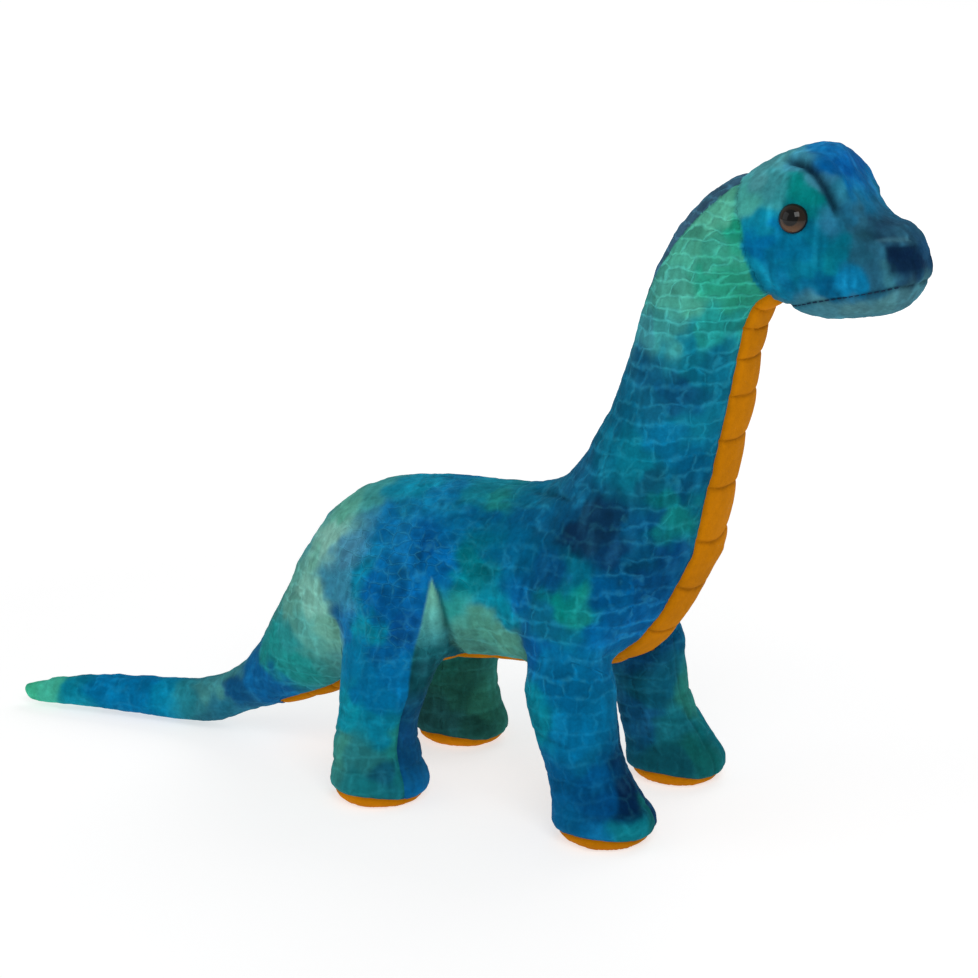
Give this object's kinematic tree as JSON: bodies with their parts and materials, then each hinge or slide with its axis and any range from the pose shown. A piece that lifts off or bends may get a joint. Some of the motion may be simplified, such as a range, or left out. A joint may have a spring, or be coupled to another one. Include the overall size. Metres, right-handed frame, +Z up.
{
  "type": "stuffed dinosaur",
  "caption": "Long-necked stuffed toy dinosaur in tie-dyed blue-green plush with a quilted orange belly, sewn seams, stuffing, safety eyes and legs, neck, head and tail that flex.",
  "frame": {"origin": "on the floor under the middle of the bounding box, with the toy standing on its soles", "axes": "+X towards the nose, +Y towards the toy's left side, +Z up"},
  "size_m": [0.517, 0.137, 0.3497],
  "materials": {
    "body_plush": "short pile plush, tie-dyed blue and teal",
    "neck_plush": "short pile plush, tie-dyed sea green to deep blue",
    "head_plush": "short pile plush, tie-dyed blue, teal and slate",
    "tail_plush": "short pile plush, tie-dyed teal to green",
    "leg_plush": "short pile plush, tie-dyed blue and teal",
    "slate_plush": "short pile plush, slate blue",
    "orange_quilt": "short pile plush, mustard orange, quilted across",
    "orange_sole": "short pile plush, mustard orange",
    "fibrefill": "loose polyester wadding",
    "mouth_thread": "sewing thread, twisted",
    "safety_eye": "polished, brown iris under a clear dome",
    "lock_washer": "moulded"
  },
  "bodies": {
    "torso": {"torso_stuffing": "fibrefill", "body_side_right": "body_plush", "body_side_left": "body_plush", "belly_panel": "orange_quilt"},
    "neck": {"neck_stuffing": "fibrefill", "neck_side_right": "neck_plush", "neck_side_left": "neck_plush", "nape_strip": "slate_plush", "throat_panel": "orange_quilt"},
    "head": {"head_stuffing": "fibrefill", "cheek_right": "head_plush", "cheek_left": "head_plush", "crown_gusset": "head_plush", "jaw_panel": "head_plush", "mouth_stitch": "mouth_thread", "eye_right": "safety_eye", "eye_left": "safety_eye", "eye_washer_right": "lock_washer", "eye_washer_left": "lock_washer"},
    "tail_root": {"tail_root_stuffing": "fibrefill", "tail_root_right": "tail_plush", "tail_root_left": "tail_plush"},
    "tail_end": {"tail_end_stuffing": "fibrefill", "tail_end_right": "tail_plush", "tail_end_left": "tail_plush"},
    "front_right_leg": {"front_right_leg_stuffing": "fibrefill", "front_right_leg_outer": "leg_plush", "front_right_leg_inner": "leg_plush", "front_right_sole": "orange_sole"},
    "front_left_leg": {"front_left_leg_stuffing": "fibrefill", "front_left_leg_outer": "leg_plush", "front_left_leg_inner": "leg_plush", "front_left_sole": "orange_sole"},
    "rear_right_leg": {"rear_right_leg_stuffing": "fibrefill", "rear_right_leg_outer": "leg_plush", "rear_right_leg_inner": "leg_plush", "rear_right_sole": "orange_sole"},
    "rear_left_leg": {"rear_left_leg_stuffing": "fibrefill", "rear_left_leg_outer": "leg_plush", "rear_left_leg_inner": "leg_plush", "rear_left_sole": "orange_sole"}
  },
  "joints": [
    {"name": "neck_lean", "type": "hinge", "parent": "torso", "child": "neck", "pos_m": [0.124, 0, 0.1685], "axis": [0, 1, 0], "range_deg": [-10, 10], "stiffness_Nm_per_rad": 6},
    {"name": "head_nod", "type": "hinge", "parent": "neck", "child": "head", "pos_m": [0.176, 0, 0.3025], "axis": [0, 1, 0], "range_deg": [-8, 8], "stiffness_Nm_per_rad": 3},
    {"name": "tail_swing", "type": "hinge", "parent": "torso", "child": "tail_root", "pos_m": [-0.112, 0, 0.03125], "axis": [0, 0, 1], "range_deg": [-20, 20], "stiffness_Nm_per_rad": 0.8},
    {"name": "tip_swing", "type": "hinge", "parent": "tail_root", "child": "tail_end", "pos_m": [-0.183, -0.00538, 0.01265], "axis": [0, 0, 1], "range_deg": [-25, 25], "stiffness_Nm_per_rad": 0.4},
    {"name": "front_right_leg_swing", "type": "hinge", "parent": "torso", "child": "front_right_leg", "pos_m": [0.0955, -0.043, 0.084], "axis": [0, 1, 0], "range_deg": [-12, 12], "stiffness_Nm_per_rad": 4},
    {"name": "front_left_leg_swing", "type": "hinge", "parent": "torso", "child": "front_left_leg", "pos_m": [0.0955, 0.043, 0.084], "axis": [0, 1, 0], "range_deg": [-12, 12], "stiffness_Nm_per_rad": 4},
    {"name": "rear_right_leg_swing", "type": "hinge", "parent": "torso", "child": "rear_right_leg", "pos_m": [-0.004, -0.043, 0.084], "axis": [0, 1, 0], "range_deg": [-12, 12], "stiffness_Nm_per_rad": 4},
    {"name": "rear_left_leg_swing", "type": "hinge", "parent": "torso", "child": "rear_left_leg", "pos_m": [-0.004, 0.043, 0.084], "axis": [0, 1, 0], "range_deg": [-12, 12], "stiffness_Nm_per_rad": 4}
  ]
}
